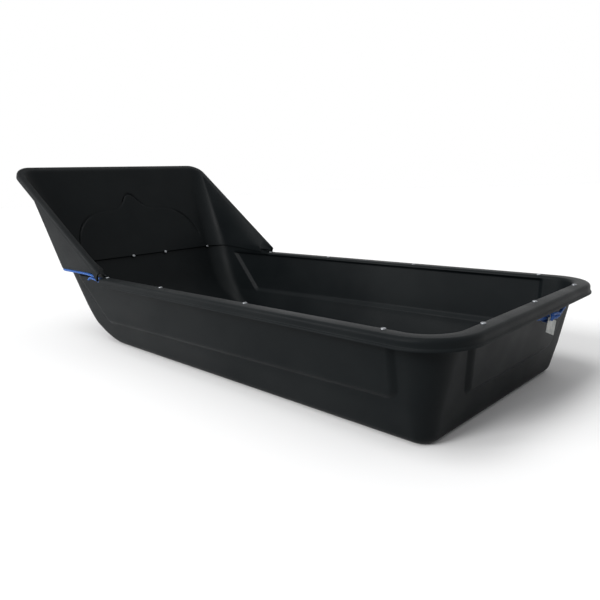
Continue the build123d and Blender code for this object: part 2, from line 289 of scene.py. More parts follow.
side_outline = inset_outline([
    (side_panel_rear, side_panel_rear_low), (side_panel_front, side_panel_front_low),
    (side_panel_front + (outline_top - side_panel_front_low) * side_panel_rake, outline_top),
    (side_panel_rear, outline_top),
], panel_round)
rear_outline = inset_outline([
    (-rear_panel_half, rear_panel_low), (rear_panel_half, rear_panel_low),
    (rear_panel_half + (outline_top - rear_panel_low) * rear_panel_rake, outline_top),
    (-rear_panel_half - (outline_top - rear_panel_low) * rear_panel_rake, outline_top),
], panel_round)
slope_inset = 0.12  # the share of a slope's run at each end that its straight part leaves out
slope_softness = 0.35


def pressed(along, z, outline):
    """How far a panel is pressed out of its wall at a place along it and height z."""
    depth = inside_depth((along, z), outline, panel_round) / panel_slope
    straight = min(max((depth - slope_inset) / (1 - 2 * slope_inset), 0.0), 1.0)
    step = mix_of(straight, ease(depth), slope_softness)
    return panel_depth * step * ease((panel_top - z) / panel_fade)


# The mould's rows, from the floor's edge up. Each is a height, which follows the panels' lower edges, and
# rows and columns lie closer together over a panel's slope.
slope_lead = 0.004
slope_pitch = 0.0032
edge_steps = [slope_pitch * step - slope_lead for step in range(12)]
foot_turn = radians(7.5)
foot_rows = [floor_top + chine * (1 - cos(foot_turn * step)) for step in range(1, 11)]
low_rows = 5
mid_rows = 9
top_rows = [0.226, 0.2285, 0.231, 0.233, 0.235, panel_top]


def row_heights(panel_low):
    rows = list(foot_rows)
    reach = panel_low + edge_steps[0]
    rows += [mix_of(foot_rows[-1], reach, step / low_rows) for step in range(1, low_rows)]
    rows += [panel_low + step for step in edge_steps]
    start = panel_low + edge_steps[-1]
    rows += [mix_of(start, top_rows[0], step / mid_rows) for step in range(1, mid_rows)]
    return rows + top_rows


raked_step = 1.44  # the slope's columns spread by this much along the side panel's raked front edge
corner_room = 0.006


def panel_front_at(z):
    return side_panel_front + (z - side_panel_front_low) * side_panel_rake


# The mould's columns along half the sled, from the middle of the rear wall to the middle of the bow.
rear_steps = 6
corner_steps = 14
side_steps = 34
gap_steps = 8
bow_steps = 14
front_steps = 10
columns = [("rear", "before", step / rear_steps) for step in range(rear_steps)]
columns += [("rear", "edge", -step) for step in reversed(edge_steps)]
columns += [("rear", "after", step / 4) for step in range(1, 4)]
columns += [("rear corner", "", step / corner_steps) for step in range(corner_steps + 1)]
columns += [("side", "rear edge", step) for step in edge_steps]
columns += [("side", "middle", step / side_steps) for step in range(1, side_steps)]
columns += [("side", "front edge", -step) for step in reversed(edge_steps)]
columns += [("side", "after", step / gap_steps) for step in range(1, gap_steps)]
columns += [("bow corner", "", 1 - step / bow_steps) for step in range(bow_steps + 1)]
columns += [("bow", "", 1 - step / front_steps) for step in range(1, front_steps + 1)]


def side_x(column, z):
    """Where a side column stands at height z."""
    _, part, place = column
    start = side_panel_rear + edge_steps[-1]
    end = panel_front_at(z) - edge_steps[-1] * raked_step
    if part == "rear edge":
        return side_panel_rear + place
    if part == "middle":
        return mix_of(start, end, place)
    if part == "front edge":
        return panel_front_at(z) + place * raked_step
    return mix_of(panel_front_at(z) - edge_steps[0] * raked_step, bow_corner_point(z, 1.0).x, place)


# The column nearest the rims' front ends moves to them.
rim_column = next(
    i for i, column in enumerate(columns)
    if column[:2] == ("side", "middle") and side_x(column, rim_top) > rim_front
)
middle_start = side_x(("side", "middle", 0.0), rim_top)
middle_end = side_x(("side", "middle", 1.0), rim_top)
columns[rim_column] = ("side", "middle", (rim_front - middle_start) / (middle_end - middle_start))


def rear_radius(z):
    """The rear corners' round at height z, seen from above; it ends where the side panels start."""
    room = side_panel_rear - corner_room - rear_foot(z)
    return min(mix_of(rear_corner_low, rear_corner_top, z / rim_top) - side_at(z) + side_foot(z), room)


def wall_point(column, z):
    """The wall's inner face at a column and height, before its panel is pressed."""
    kind, part, place = column
    radius = rear_radius(z)
    if kind == "rear":
        straight = side_foot(z) - radius
        edge = rear_panel_half + (z - rear_panel_low) * rear_panel_rake
        if part == "before":
            y = place * (edge - edge_steps[-1])
        elif part == "edge":
            y = edge + place
        else:
            y = mix_of(edge - edge_steps[0], straight, place)
        return Vector((rear_foot(z), y, z))
    if kind == "rear corner":
        angle = place * pi / 2
        return Vector((
            rear_foot(z) + radius * (1 - cos(angle)), side_foot(z) - radius * (1 - sin(angle)), z
        ))
    if kind == "side":
        return Vector((side_x(column, z), side_foot(z), z))
    if kind == "bow corner":
        return bow_corner_point(z, place)
    corner = bow_corner_point(z, 0.0)
    return Vector((corner.x, corner.y * place, z))


def rim_point(column, inset, z):
    """The rim's outline, its edge moved inwards by inset."""
    kind, part, place = column
    straight = rim_half - rim_corner
    if kind == "rear":
        wall = wall_point(column, rim_top)
        return Vector((rim_rear + inset, wall.y * straight / (side_at(rim_top) - rear_radius(rim_top)), z))
    if kind == "rear corner":
        angle = place * pi / 2
        radius = rim_corner - inset
        return Vector((rim_rear + rim_corner - radius * cos(angle), straight + radius * sin(angle), z))
    return Vector((max(side_x(column, rim_top), rim_rear + rim_corner), rim_half - inset, z))


def formed_column(column):
    """One column of the formed walls, from the floor's edge up to the panels' top."""
    kind = column[0]
    if kind.startswith("rear"):
        low = rear_panel_low
    elif kind == "side":
        share = (side_x(column, side_panel_rear_low) - side_panel_rear) / (side_panel_front - side_panel_rear)
        low = mix_of(side_panel_rear_low, side_panel_front_low, min(max(share, 0.0), 1.0))
    else:
        low = side_panel_front_low
    if kind == "rear corner":
        low = mix_of(rear_panel_low, side_panel_rear_low, ease(column[2]))
    points = []
    for z in row_heights(low):
        point = wall_point(column, z)
        if kind == "rear":
            depth = pressed(point.y, z, rear_outline)
            point += Vector((-cos(rear_lean), 0.0, -sin(rear_lean))) * depth
        if kind == "side":
            depth = pressed(point.x, z, side_outline)
            point += Vector((0.0, cos(side_lean), -sin(side_lean))) * depth
        points.append(point)
    return points


def bend(a, b, c, shares):
    """Points on the smooth turn that leaves a towards b and reaches c from it."""
    return [a * (1 - t) ** 2 + b * (2 * t * (1 - t)) + c * t ** 2 for t in shares]


bend_steps = 6
bend_reach = 0.008
band_crown = 0.0006  # how far the flat band stands up in its middle
roll_steps = 7
# The skirt under the rolled edge, as distances in from the rim's outline and heights. It ends in a lip.
skirt_section = (
    (0.0, 0.231), (0.0, 0.2265), (-0.0004, 0.2252), (-0.0014, 0.2243), (-0.0025, 0.2236), (-lip, 0.2225),
    (-lip, rim_top - skirt_drop),
)


def rim_column_points(column):
    """The rim above a wall column: the bend, the flat band, the rolled edge, the skirt and its lip."""
    knee = wall_point(column, rim_top)
    edge = rim_point(column, rim_round, rim_top)
    end = knee + (edge - knee).normalized() * bend_reach
    shares = [step / bend_steps for step in range(1, bend_steps + 1)]
    points = bend(wall_point(column, panel_top), knee, end, shares)
    for share in (1 / 3, 2 / 3):
        points.append(mix_of(end, edge, share) + Vector((0, 0, band_crown * sin(pi * share))))
    for step in range(roll_steps + 1):
        angle = step / roll_steps * pi / 2
        points.append(rim_point(column, rim_round * (1 - sin(angle)), rim_top - rim_round * (1 - cos(angle))))
    return points + [rim_point(column, inset, z) for inset, z in skirt_section]


def prow_column_points(column):
    """The wall above a panel ahead of the rim, straight up to the prow's edge."""
    top = prow_top
    if column[0] == "side":
        ahead = wall_point(column, rim_top).x - rim_front
        top = mix_of(rim_top, prow_top, min(ahead / prow_step, 1.0))
    return [wall_point(column, mix_of(panel_top, top, step / 3)) for step in (1, 2, 3)]


def piece_of(name, points, faces, edges=()):
    """A new piece from its points and faces, which alone is selected."""
    mesh = bpy.data.meshes.new(name)
    mesh.from_pydata([tuple(point) for point in points], edges, faces)
    piece = bpy.data.objects.new(name, mesh)
    bpy.context.scene.collection.objects.link(piece)
    bpy.ops.object.select_all(action="DESELECT")
    bpy.context.view_layer.objects.active = piece
    piece.select_set(True)
    return piece


def sheet_piece(name, grids):
    """A piece from grids of points, each a list of columns and whether it closes, skinned with quads."""
    points, faces = [], []
    for grid, closed in grids:
        start = len(points)
        tall = len(grid[0])
        for column in grid:
            points += column
        wide = len(grid)
        for i in range(wide if closed else wide - 1):
            for j in range(tall - 1):
                a = start + i * tall + j
                b = start + (i + 1) % wide * tall + j
                faces.append((a, b, b + 1, a + 1))
    return piece_of(name, points, faces)


def edit_all():
    """Opens the active piece for editing with all of it selected."""
    bpy.ops.object.mode_set(mode="EDIT")
    bpy.ops.mesh.select_all(action="SELECT")


def port(points):
    """The same points on the sled's other side."""
    return [Vector((p.x, -p.y, p.z)) for p in points]


weld_gap = 0.00002
crease = radians(50)
walls = [formed_column(column) for column in columns]
walls += [port(points) for points in reversed(walls[1:-1])]
rims = [rim_column_points(column) for column in columns[:rim_column + 1]]
rims = [[walls[i][-1]] + points for i, points in enumerate(rims)]
rims = [port(points) for points in reversed(rims[1:])] + rims
prow = [[walls[i][-1]] + prow_column_points(column) for i, column in enumerate(columns) if i >= rim_column]
prow += [port(points) for points in reversed(prow[:-1])]
tub = sheet_piece("tub", [(walls, True), (rims, False), (prow, False)])
edit_all()
bpy.ops.mesh.remove_doubles(threshold=weld_gap)
bpy.ops.mesh.select_all(action="DESELECT")
bpy.ops.object.mode_set(mode="OBJECT")
# The walls' lowest loop is filled with the floor, which is inset once for a flat border.
floor_border = 0.004
for edge in tub.data.edges:
    a, b = (tub.data.vertices[i].co for i in edge.vertices)
    edge.select = max(a.z, b.z) < foot_rows[0] + weld_gap / 2
bpy.ops.object.mode_set(mode="EDIT")
bpy.ops.mesh.edge_face_add()
bpy.ops.mesh.inset(thickness=floor_border)
bpy.ops.mesh.select_all(action="SELECT")
bpy.ops.mesh.normals_make_consistent(inside=False)
bpy.ops.object.mode_set(mode="OBJECT")
floor_face = min(tub.data.polygons, key=lambda face: abs(face.center.z - foot_rows[0]) - face.area)
wall_thickness = tub.modifiers.new("wall", "SOLIDIFY")
wall_thickness.thickness = sheet
wall_thickness.offset = -1.0 if floor_face.normal.z > 0 else 1.0
wall_thickness.use_even_offset = True
bpy.ops.object.modifier_apply(modifier="wall")
bpy.ops.object.shade_smooth_by_angle(angle=crease)


def shader_of(name, colour, roughness):
    """A new material, with its nodes, links and main shader."""
    material = bpy.data.materials.new(name)
    material.use_nodes = True
    nodes, links = material.node_tree.nodes, material.node_tree.links
    shader = nodes["Principled BSDF"]
    shader.inputs["Base Color"].default_value = (*colour, 1.0)
    shader.inputs["Roughness"].default_value = roughness
    return material, nodes, links, shader


def cloudy(nodes, links, scale, detail, low, high, stretch=(1.0, 1.0, 1.0)):
    """A soft noise over the piece, from the low value or colour to the high one."""
    place = nodes.new("ShaderNodeTexCoord")
    stretched = nodes.new("ShaderNodeMapping")
    stretched.inputs["Scale"].default_value = stretch
    noise = nodes.new("ShaderNodeTexNoise")
    noise.inputs["Scale"].default_value = scale
    noise.inputs["Detail"].default_value = detail
    links.new(place.outputs["Object"], stretched.inputs["Vector"])
    links.new(stretched.outputs["Vector"], noise.inputs["Vector"])
    if isinstance(low, tuple):
        ramp = nodes.new("ShaderNodeValToRGB")
        ramp.color_ramp.elements[0].position = 0.35
        ramp.color_ramp.elements[0].color = (*low, 1.0)
        ramp.color_ramp.elements[1].position = 0.65
        ramp.color_ramp.elements[1].color = (*high, 1.0)
        links.new(noise.outputs["Fac"], ramp.inputs["Fac"])
        return ramp.outputs["Color"]
    spread = nodes.new("ShaderNodeMapRange")
    spread.inputs["From Min"].default_value = 0.3
    spread.inputs["From Max"].default_value = 0.7
    spread.inputs["To Min"].default_value = low
    spread.inputs["To Max"].default_value = high
    links.new(noise.outputs["Fac"], spread.inputs["Value"])
    return spread.outputs["Result"]


def raise_grain(nodes, links, shader, scale, detail, distance, strength):
    """Adds a soft noise to a shader's surface as fine relief."""
    heights = cloudy(nodes, links, scale, detail, 0.0, 1.0)
    bump = nodes.new("ShaderNodeBump")
    bump.inputs["Distance"].default_value = distance
    bump.inputs["Strength"].default_value = strength
    links.new(heights, bump.inputs["Height"])
    links.new(bump.outputs["Normal"], shader.inputs["Normal"])


plastic_dark = (0.0036, 0.0050, 0.0058)
plastic_light = (0.0064, 0.0080, 0.0087)
black_plastic, nodes, links, shader = shader_of("black_polyethylene", plastic_light, 0.4)
shader.inputs["Specular IOR Level"].default_value = 0.065
links.new(cloudy(nodes, links, 5.0, 3.0, plastic_dark, plastic_light), shader.inputs["Base Color"])
links.new(cloudy(nodes, links, 9.0, 5.0, 0.40, 0.50, (0.4, 1.0, 1.0)), shader.inputs["Roughness"])
raise_grain(nodes, links, shader, 900.0, 2.0, 0.0003, 0.35)
tub.data.materials.append(black_plastic)
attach(tub, "root")
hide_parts("tub_shell")


# ------------------------------------------------------------------ bead
# A solid bead of the same plastic, welded round the outside of the bow for the rope to bear on. It runs
# from one rim's end to the other under the extension's lower edge.
bead_reach = 0.011
bead_half = 0.0025
bead_z = 0.2475
bead_sunk = sheet * 0.7
bead_bevel = 0.001
bead_round = 0.6
up = Vector((0.0, 0.0, bead_half))
rings = []
for column in columns[rim_column:]:
    kind, _, place = column
    across = Vector((0.0, 1.0, 0.0))
    if kind == "bow":
        across = Vector((1.0, 0.0, 0.0))
    if kind == "bow corner":
        across = Vector((sin((1 - place) * pi / 2), cos((1 - place) * pi / 2), 0.0))
    wall = wall_point(column, bead_z) + across * bead_sunk
    edge = wall + across * bead_reach
    bevel = across * bead_bevel
    rings.append([
        wall - up, edge - up - bevel, edge - up * bead_round, edge + up * bead_round, edge + up - bevel,
        wall + up, wall - up,
    ])
rings += [port(ring) for ring in reversed(rings[:-1])]


def face_outwards():
    """Turns the selected piece's faces outwards and smooths all but its creases."""
    edit_all()
    bpy.ops.mesh.normals_make_consistent(inside=False)
    bpy.ops.object.mode_set(mode="OBJECT")
    bpy.ops.object.shade_smooth_by_angle(angle=crease)


def close_piece():
    """Merges the selected piece's double points, fills its open ends and turns its faces outwards."""
    edit_all()
    bpy.ops.mesh.remove_doubles(threshold=weld_gap)
    bpy.ops.mesh.select_all(action="DESELECT")
    bpy.ops.mesh.select_non_manifold()
    bpy.ops.mesh.edge_face_add()
    face_outwards()


bead = sheet_piece("rope_bead", [(rings, False)])
close_piece()
bead.data.materials.append(black_plastic)
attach(bead, "root")


# ------------------------------------------------------------------ nose extension
# A second moulding of the same plastic that makes the bow taller: a leaning front panel between two
# cheeks, rolled over at its edge. Its foot straddles the tub's edge; the inner side is screwed to the tub.
_, nose_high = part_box("nose_extension")
slope = radians(33.66)  # the rolled edge lies in one plane that climbs from the rims' front ends
edge_foot = 0.2602
nose_skirt = 0.020
nose_edge = nose_high.x - nose_skirt * sin(slope)
nose_edge_half = rim_half + 0.032
nose_height = edge_foot + (nose_edge - rim_front) * tan(slope)
flange_width = 0.018
flange_sheet = 0.0045
flange_corner = 0.060
panel_corner = 0.052
joggle = 0.015
margin_inset = 0.0055  # the screwed margin inside the tub, and its lower edge's height
margin_low = 0.262
margin_tip = 0.2465
margin_rise = 0.022
outer_low = 0.2535  # the outer face's lower edge
edge_gap = 0.002
wall_gap = 0.040
nose_base = bow_at(prow_top, 0) + joggle
nose_base_half = side_at(prow_top, 0) + joggle
panel_lean = (nose_edge - flange_width * cos(slope) - nose_base) / (
    nose_height - flange_width * sin(slope) - prow_top)
cheek_lean = (nose_edge_half - flange_width - nose_base_half) / (
    nose_height - flange_width * sin(slope) - prow_top)


def panel_at(z, inset=sheet):
    return nose_base + (z - prow_top) * panel_lean - inset * hypot(1, panel_lean)


def cheek_at(z, inset=sheet):
    return nose_base_half + (z - prow_top) * cheek_lean - inset * hypot(1, cheek_lean)


def on_slope(s, y, drop=0.0):
    """A point in the rolled edge's sloping plane, s up the slope from the rims' ends, drop below it."""
    return Vector((
        rim_front + s * cos(slope) + drop * sin(slope), y, edge_foot + s * sin(slope) - drop * cos(slope)
    ))


def slope_outline(column, reach, half, spread, radius, gap):
    """A U in the sloping plane: a front edge, a round corner, and a side that spreads as it climbs."""
    kind, place = column
    lean = cos(spread), sin(spread)
    middle_s = reach - radius
    middle_y = half + middle_s * tan(spread) - radius / lean[0]
    if kind == "front":
        return reach, middle_y * place
    if kind == "corner":
        angle = place * (pi / 2 + spread)
        return middle_s + radius * cos(angle), middle_y + radius * sin(angle)
    s = mix_of(middle_s - radius * lean[1], gap / cos(slope), place)
    return s, half + s * tan(spread)


edge_reach = hypot(nose_edge - rim_front, nose_height - edge_foot)
edge_spread = asin((nose_edge_half - rim_half) / edge_reach)


def edge_point(column, inset, drop):
    s, y = slope_outline(
        column, edge_reach - inset, rim_half - inset / cos(edge_spread), edge_spread, flange_corner - inset,
        edge_gap,
    )
    return on_slope(s, y, drop)


def wall_top(column, inset, drop):
    """Where the panel or cheek, moved inwards by inset, meets the sloping plane lowered by drop."""
    lowered = edge_foot - drop / cos(slope)
    x = nose_base - inset * hypot(1, panel_lean) + (lowered - rim_front * tan(slope) - prow_top) * panel_lean
    x /= 1 - panel_lean * tan(slope)
    reach = (x - rim_front) / cos(slope) - drop * tan(slope)
    half = cheek_at(lowered, inset) + drop * sin(slope) * tan(slope) * cheek_lean
    spread = sin(slope) * cheek_lean
    s, y = slope_outline(column, reach, half, spread, panel_corner - inset, wall_gap if inset else edge_gap)
    return on_slope(s, y, drop)


def margin_point(column, z, inset):
    """On the tub's inner face moved inwards by inset."""
    kind, place = column
    if kind == "front":
        corner = bow_corner_point(z, 0.0, inset)
        return Vector((corner.x, corner.y * place, z))
    if kind == "corner":
        return bow_corner_point(z, place, inset)
    x = mix_of(bow_corner_point(z, 1.0, inset).x, rim_front + wall_gap, place)
    return Vector((x, side_at(z, sheet + inset), z))


def outer_point(column, z, inset):
    """On the panel's or the cheek's outer face moved inwards by inset."""
    kind, place = column
    radius = panel_corner - inset
    if kind == "front":
        return Vector((panel_at(z, inset), (cheek_at(z, inset) - radius) * place, z))
    if kind == "corner":
        angle = place * pi / 2
        return Vector((
            panel_at(z, inset) - radius * (1 - cos(angle)), cheek_at(z, inset) - radius * (1 - sin(angle)), z
        ))
    return Vector((mix_of(panel_at(z, inset) - radius, rim_front + edge_gap, place), cheek_at(z, inset), z))


# A stiffening swage pressed into the front panel: an ogee arch that fades out between peak and legs. Its
# half is four turns, each from one corner to the next but one, leaning towards the one between.
swage_corners = (
    (0.0, 0.500), (0.012, 0.499), (0.022, 0.487), (0.050, 0.448), (0.070, 0.443), (0.090, 0.438),
    (0.120, 0.438), (0.255, 0.430), (0.268, 0.300),
)
swage = [Vector(swage_corners[0])]
for i, steps in enumerate((5, 5, 4, 14)):
    a, b, c = (Vector(corner) for corner in swage_corners[2 * i:2 * i + 3])
    swage += bend(a, b, c, [step / steps for step in range(1, steps + 1)])
swage_width = 0.0050
swage_depth = 0.0052
swage_half, swage_low, swage_high = 0.28, 0.285, 0.52
fade_depth, fade_middle, fade_half, fade_run = 0.9, 0.46, 0.26, 0.12


def swage_at(y, z):
    """How deep the swage is at a place on the panel."""
    if abs(y) > swage_half or not swage_low < z < swage_high:
        return 0.0
    point = Vector((abs(y), z))
    nearest, share = 1.0, 0.0
    for i, (a, b) in enumerate(zip(swage, swage[1:])):
        t = min(max((point - a).dot(b - a) / (b - a).length_squared, 0.0), 1.0)
        gap = (point - a - (b - a) * t).length
        if gap < nearest:
            nearest, share = gap, (i + t) / (len(swage) - 1)
    fade = 1 - fade_depth * ease((fade_half - abs(share - fade_middle)) / fade_run)
    return swage_depth * fade * ease(1 - nearest / swage_width)


wall_rows = 104
bend_run = 0.009  # how far the bend under the rolled edge reaches, and its share of a short wall
bend_most = 0.4
skirt_drops = (0.014, 0.018, 0.0194)
lip_insets = (0.0007, 0.0038)
tip_drop = 0.0115  # the skirt's tips hang this much lower, ahead of the rims' ends
tip_start = 0.93
foot_rise_start = 0.72
foot_rise_end = 0.94
rim_clearance = 0.0003


def margin_heights(column):
    """The heights of the screwed margin's lower edge and of the bend over it, lower towards a cheek's tip."""
    low_z = mix_of(margin_low, margin_tip, column[1]) if column[0] == "cheek" else margin_low
    return low_z, min(low_z + margin_rise, mix_of(low_z, wall_top(column, sheet, 0.0).z, 0.5))


def inner_face(column):
    """Up the inside: the screwed margin, a bend outwards, the wall with its swage, and the edge's bend."""
    top = wall_top(column, sheet, 0.0)
    edge = edge_point(column, rim_round, 0.0)
    low_z, high_z = margin_heights(column)
    low = margin_point(column, low_z, margin_inset)
    high = margin_point(column, high_z, margin_inset)
    points = [low + (high - low) * share for share in (0.0, 0.05, 0.3, 0.6)]
    points[0] += (margin_point(column, low_z, 0.0) - low) * 0.25
    turn = high + (top - high) * 0.12
    points += bend(low + (high - low) * 0.8, high, turn, (0.0, 0.33, 0.67, 1.0))
    last = top + (turn - top) * min(bend_run / max((top - turn).length, 0.0001), bend_most)
    for row in range(1, wall_rows + 1):
        point = turn + (last - turn) * (row / wall_rows)
        if column[0] != "cheek":
            point += Vector((cos(slope), 0.0, -sin(slope))) * swage_at(point.y, point.z)
        points.append(point)
    start = top + (edge - top).normalized() * min(bend_run, (edge - top).length * bend_most)
    points += bend(last, top, start, (0.2, 0.4, 0.6, 0.8, 1.0))
    return points + [(start + edge) / 2]


def rolled_edge(column):
    """Over the rolled edge, down its skirt, up the skirt's inside and back under the flange."""
    points = []
    for step in range(roll_steps + 1):
        angle = step / roll_steps * pi / 2
        points.append(edge_point(column, rim_round * (1 - sin(angle)), rim_round * (1 - cos(angle))))
    points += [edge_point(column, 0.0, drop) for drop in skirt_drops]
    points += [edge_point(column, inset, nose_skirt) for inset in lip_insets]
    points += [edge_point(column, flange_sheet, drop) for drop in (skirt_drops[2], skirt_drops[0], rim_round)]
    radius = rim_round - flange_sheet
    for angle in (pi / 3, pi / 6, 0.0):
        points.append(edge_point(column, rim_round - radius * sin(angle), rim_round - radius * cos(angle)))
    under = wall_top(column, 0.0, flange_sheet)
    points.append(under + (edge_point(column, rim_round, flange_sheet) - under) * 0.35)
    for point in points:
        point.z = max(point.z, rim_top + rim_clearance)
    if column[0] == "cheek":
        for point in points[roll_steps + 2:roll_steps + 8]:
            point.z -= tip_drop * ease((column[1] - tip_start) / (1 - tip_start))
    return points


def outer_face(column):
    """Down the outside to the foot, then up the channel that straddles the tub's edge."""
    under = wall_top(column, 0.0, flange_sheet)
    foot_z = min(outer_low, under.z - 0.002)
    if column[0] == "cheek":
        rise = ease((column[1] - foot_rise_start) / (foot_rise_end - foot_rise_start))
        foot_z = mix_of(foot_z, rim_top + 0.0005, rise)
    foot = outer_point(column, foot_z, 0.0)
    points = [under + (foot - under) * share for share in (0.02, 0.06, 0.2, 0.4, 0.6, 0.8, 0.97, 1.0)]
    low_z = margin_heights(column)[0]
    crown_z = min(prow_top + 0.0006, low_z + 0.01)
    return points + [
        outer_point(column, foot_z, sheet),
        outer_point(column, max(foot_z, crown_z - 0.003), sheet),
        margin_point(column, crown_z, margin_inset - sheet),
        margin_point(column, low_z, margin_inset - sheet),
    ]


front_columns = 160
nose_corner_steps = 14
cheek_columns = 44
nose_columns = [("front", step / front_columns) for step in range(front_columns)]
nose_columns += [("corner", step / nose_corner_steps) for step in range(nose_corner_steps + 1)]
nose_columns += [("cheek", step / cheek_columns) for step in range(1, cheek_columns + 1)]
sections = [inner_face(column) + rolled_edge(column) + outer_face(column) for column in nose_columns]
sections = [section + section[:1] for section in sections]
sections = [port(section) for section in reversed(sections[1:])] + sections
nose = sheet_piece("nose", [(sections, False)])
close_piece()
nose.data.materials.append(black_plastic)
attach(nose, "root")
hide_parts("nose_extension")


# ------------------------------------------------------------------ rope
# Nine millimetres of blue three-strand polypropylene, laid in the hollow of the rim and round the bow on a
# bead under the extension's edge. Its two ends meet in a knot under the middle of the rear rim, and a
# spare end is tucked into the left rim's front.
rope_low, rope_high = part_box("perimeter_rope")
rope_size = 0.009
rope_lay = 0.030
rope_z = 0.2345
bow_rope_z = 0.2487
rope_y = rope_high.y - rope_size / 2
rope_x = rope_high.x - 0.001
rope_back = rope_low.x + rope_size / 2
knot_left = Vector((rope_back, 0.030, 0.222))
knot_right = Vector((rope_back, -0.110, 0.198))
half_route = [
    Vector((rope_back, rope_y, rope_z)),
    Vector((rope_back + 0.23, rope_y, rope_z)),
    Vector((rim_front - 0.010, rope_y, rope_z)),
    Vector((rim_front + 0.085, rope_y, bow_rope_z)),
    Vector((rope_x - 0.14, rope_y, bow_rope_z)),
    Vector((rope_x, rope_y, bow_rope_z)),
    Vector((rope_x, rope_y - 0.14, bow_rope_z)),
]
from_knot = [knot_left, Vector((rope_back, 0.0546, 0.2262)), Vector((rope_back, 0.115, rope_z))]
to_knot = [Vector((rope_back, -0.195, rope_z)), Vector((rope_back, -0.1346, 0.1938)), knot_right]
rope_route = from_knot + half_route + port(reversed(half_route)) + to_knot


def smooth_path(name, points, resolution):
    """The points that a smooth line through a route follows."""
    curve = bpy.data.curves.new(name, "CURVE")
    curve.dimensions = "3D"
    spline = curve.splines.new("NURBS")
    spline.points.add(len(points) - 1)
    for place, point in zip(spline.points, points):
        place.co = (*point, 1.0)
    spline.order_u = 3
    spline.use_endpoint_u = True
    spline.resolution_u = resolution
    line = bpy.data.objects.new(name, curve)
    mesh = bpy.data.meshes.new_from_object(line)
    path = [vertex.co.copy() for vertex in mesh.vertices]
    bpy.data.objects.remove(line)
    bpy.data.curves.remove(curve)
    bpy.data.meshes.remove(mesh)
    return path


def even_steps(path, step):
    """The path again, with its points a step apart."""
    reach = [0.0]
    for a, b in zip(path, path[1:]):
        reach.append(reach[-1] + (b - a).length)
    count = max(round(reach[-1] / step), 2)
    even, i = [], 0
    for k in range(count + 1):
        at = reach[-1] * k / count
        while i < len(path) - 2 and reach[i + 1] < at:
            i += 1
        even.append(path[i].lerp(path[i + 1], (at - reach[i]) / max(reach[i + 1] - reach[i], 1e-9)))
    return even


strand_share = 0.268  # a strand's radius and its middle's distance from the rope's, for a rope one wide
offset_share = 0.232


def laid_rope(name, path, size, lay, sides=7, steps_a_lay=11):
    """Three strands twisted round a path, as one piece; both ends are closed."""
    strand = size * strand_share
    offset = size * offset_share
    path = even_steps(path, lay / steps_a_lay)
    points, faces = [], []
    across = (path[1] - path[0]).orthogonal().normalized()
    frames = []
    for i, point in enumerate(path):
        along = (path[min(i + 1, len(path) - 1)] - path[max(i - 1, 0)]).normalized()
        across = (across - along * across.dot(along)).normalized()
        frames.append((point, along, across, along.cross(across)))
    for third in range(3):
        start = len(points)
        for i, (point, along, u, v) in enumerate(frames):
            turn = 2 * pi * (i / steps_a_lay + third / 3)
            out = u * cos(turn) + v * sin(turn)
            side = along.cross(out)
            lean = (along + side * (2 * pi * offset / lay)).normalized()
            level = out.cross(lean)
            for k in range(sides):
                angle = 2 * pi * k / sides
                points.append(point + out * offset + (out * cos(angle) + level * sin(angle)) * strand)
        for i in range(len(frames) - 1):
            for k in range(sides):
                a, b = start + i * sides + k, start + i * sides + (k + 1) % sides
                faces.append((a, b, b + sides, a + sides))
        faces.append(tuple(reversed(range(start, start + sides))))
        faces.append(tuple(range(len(points) - sides, len(points))))
    piece = piece_of(name, points, faces)
    face_outwards()
    return piece


rope = laid_rope("rope", smooth_path("rope_line", rope_route, 48), rope_size, rope_lay)
rope_dark = (0.002, 0.060, 0.28)
rope_light = (0.007, 0.12, 0.46)
blue_rope, nodes, links, shader = shader_of("blue_polypropylene", rope_light, 0.42)
shader.inputs["Specular IOR Level"].default_value = 0.3
shader.inputs["Sheen Weight"].default_value = 0.15
shader.inputs["Sheen Roughness"].default_value = 0.4
links.new(cloudy(nodes, links, 160.0, 4.0, rope_dark, rope_light), shader.inputs["Base Color"])
links.new(cloudy(nodes, links, 300.0, 3.0, 0.34, 0.55), shader.inputs["Roughness"])
raise_grain(nodes, links, shader, 1400.0, 3.0, 0.0003, 0.5)
rope.data.materials.append(blue_rope)
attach(rope, "root")
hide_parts("perimeter_rope")

# The spare end comes out of the left rim's hollow, under the first run.
tuck_size = 0.0082
tuck_lay = 0.027
tuck_route = [
    Vector((rim_front - 0.030, rope_y, 0.2252)),
    Vector((rim_front + 0.010, rope_y + 0.0010, 0.2268)),
    Vector((rim_front + 0.045, rope_y + 0.0030, 0.2342)),
    Vector((rim_front + 0.075, rope_y + 0.0035, 0.2385)),
    Vector((rim_front + 0.092, rope_y + 0.0035, 0.2370)),
    Vector((rim_front + 0.100, rope_y + 0.0040, 0.2305)),
]
tuck = laid_rope("rope_tuck", smooth_path("tuck_line", tuck_route, 16), tuck_size, tuck_lay)
tuck.data.materials.append(blue_rope)
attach(tuck, "root")


# ------------------------------------------------------------------ knot
# The rope's two ends folded side by side into one bundle, with a half hitch of the same rope drawn round
# it and a short end standing out of the hitch.
along_knot = (knot_right - knot_left).normalized()
knot_up = Vector((0.0, along_knot.z, -along_knot.y))
knot_out = Vector((-1.0, 0.0, 0.0))
fold = 0.0052


def in_knot(along, out, up):
    return knot_left + along_knot * along + knot_out * out + knot_up * up


